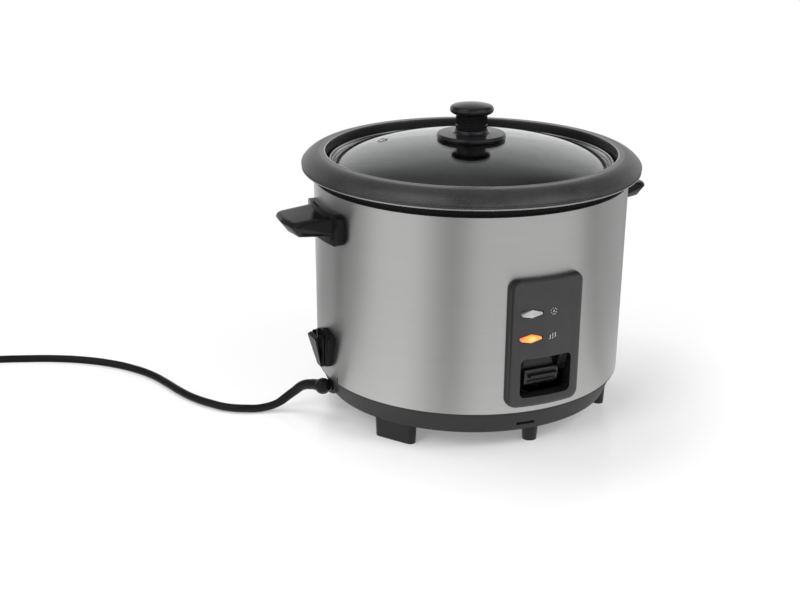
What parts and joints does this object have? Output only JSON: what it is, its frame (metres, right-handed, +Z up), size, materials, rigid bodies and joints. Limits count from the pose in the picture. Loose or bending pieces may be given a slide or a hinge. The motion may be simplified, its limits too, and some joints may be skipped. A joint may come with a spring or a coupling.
{
  "type": "rice cooker",
  "caption": "Round rice cooker: brushed steel shell on a dark base with feet, lift-out pot with a wide lip, glass lid, side handles, front panel with a cook lever and lamps.",
  "frame": {"origin": "centre of the cooker's footprint on the surface that its feet stand on, without the mains lead", "axes": "+Z up along the pot's axis; -Y is the front with the control panel; the handles stand on -X and +X, and the mains lead leaves the base on -X"},
  "size_m": [0.5705, 0.455, 0.2289],
  "materials": {
    "brushed_shell": "horizontally brushed stainless steel",
    "dark_plastic": "fine satin",
    "chamber_steel": "drawn aluminium sheet, satin",
    "foot_plastic": "fine satin",
    "zinc_steel": "zinc-plated steel",
    "cast_aluminium": "cast and turned",
    "heater_steel": "heat-darkened tube",
    "fuse_ceramic": "matt",
    "white_plastic": "matt",
    "panel_plastic": "satin",
    "clear_lens": "clear, unlit",
    "orange_lens": "translucent orange, lit",
    "lamp_glass": "clear glass",
    "handle_plastic": "gloss",
    "lever_plastic": "gloss",
    "knob_plastic": "high gloss",
    "button_plastic": "gloss",
    "cord_rubber": "smooth, slightly glossy",
    "plug_plastic": "smooth",
    "tie_plastic": "matt",
    "pin_brass": "nickel-plated brass",
    "cap_steel": "spun aluminium",
    "ferrite_ceramic": "matt dark grey",
    "spring_steel": "drawn wire",
    "pot_coating": "dark grey metallic non-stick coating",
    "lid_glass": "clear tempered glass",
    "rim_steel": "polished stainless steel"
  },
  "bodies": {
    "cooker": {"outer_shell": "brushed_shell", "top_ring": "dark_plastic", "heat_chamber": "chamber_steel", "base_cover": "dark_plastic", "foot_front": "foot_plastic", "foot_rear": "foot_plastic", "foot_front_left": "foot_plastic", "foot_front_right": "foot_plastic", "foot_rear_left": "foot_plastic", "foot_rear_right": "foot_plastic", "support_posts": "zinc_steel", "plate_spacers": "zinc_steel", "base_screws": "zinc_steel", "heating_plate": "cast_aluminium", "heating_tube": "heater_steel", "heater_terminals": "zinc_steel", "thermostat_seat": "zinc_steel", "keep_warm_thermostat": "zinc_steel", "thermal_fuse": "fuse_ceramic", "fuse_clamp": "zinc_steel", "terminal_block": "white_plastic", "control_panel": "panel_plastic", "keep_warm_lens": "clear_lens", "cook_lens": "orange_lens", "indicator_lamps": "lamp_glass", "lever_bracket": "zinc_steel", "pivot_pin": "zinc_steel", "microswitch": "dark_plastic", "handle_left": "handle_plastic", "handle_right": "handle_plastic", "handle_screws": "zinc_steel", "spatula_holder": "handle_plastic", "cord_gland": "cord_rubber", "cord_lead": "cord_rubber", "cord_coil": "cord_rubber", "coil_tie": "tie_plastic", "plug_body": "plug_plastic", "plug_pins": "pin_brass"},
    "lever": {"cook_lever": "lever_plastic", "lever_arm": "zinc_steel"},
    "switch": {"switch_button": "button_plastic"},
    "sensor": {"sensor_cap": "cap_steel", "ferrite_ring": "ferrite_ceramic", "sensor_spring": "spring_steel"},
    "magnet": {"magnet_cup": "zinc_steel", "magnet_ring": "ferrite_ceramic", "magnet_spring": "spring_steel"},
    "pot": {"inner_pot": "pot_coating"},
    "lid": {"lid_glass": "lid_glass", "lid_rim": "rim_steel", "lid_knob": "knob_plastic", "knob_shield": "knob_plastic", "knob_screw": "zinc_steel", "steam_vent": "rim_steel"}
  },
  "joints": [
    {"name": "pot_lift", "type": "slide", "parent": "cooker", "child": "pot", "axis": [0, 0, 1], "range_m": [0, 0.2]},
    {"name": "lid_lift", "type": "slide", "parent": "pot", "child": "lid", "axis": [0, 0, 1], "range_m": [0, 0.12]},
    {"name": "lever_pivot", "type": "hinge", "parent": "cooker", "child": "lever", "pos_m": [0, -0.05, 0.052], "axis": [-1, 0, 0], "range_deg": [0, 6.6]},
    {"name": "switch_press", "type": "slide", "parent": "cooker", "child": "switch", "axis": [0, 0, -1], "range_m": [0, 0.0024]},
    {"name": "sensor_press", "type": "slide", "parent": "cooker", "child": "sensor", "axis": [0, 0, 1], "range_m": [-0.0012, 0], "stiffness_N_per_m": 500, "springref_m": 0.004, "deforming": ["sensor_spring"]},
    {"name": "magnet_slide", "type": "slide", "parent": "sensor", "child": "magnet", "axis": [0, 0, -1], "range_m": [0, 0.0059], "deforming": ["magnet_spring"]}
  ],
  "couplings": [
    {"joint": "magnet_slide", "follows": "lever_pivot", "m_per_rad": 0.05},
    {"joint": "switch_press", "follows": "lever_pivot", "m_per_rad": 0.02}
  ]
}
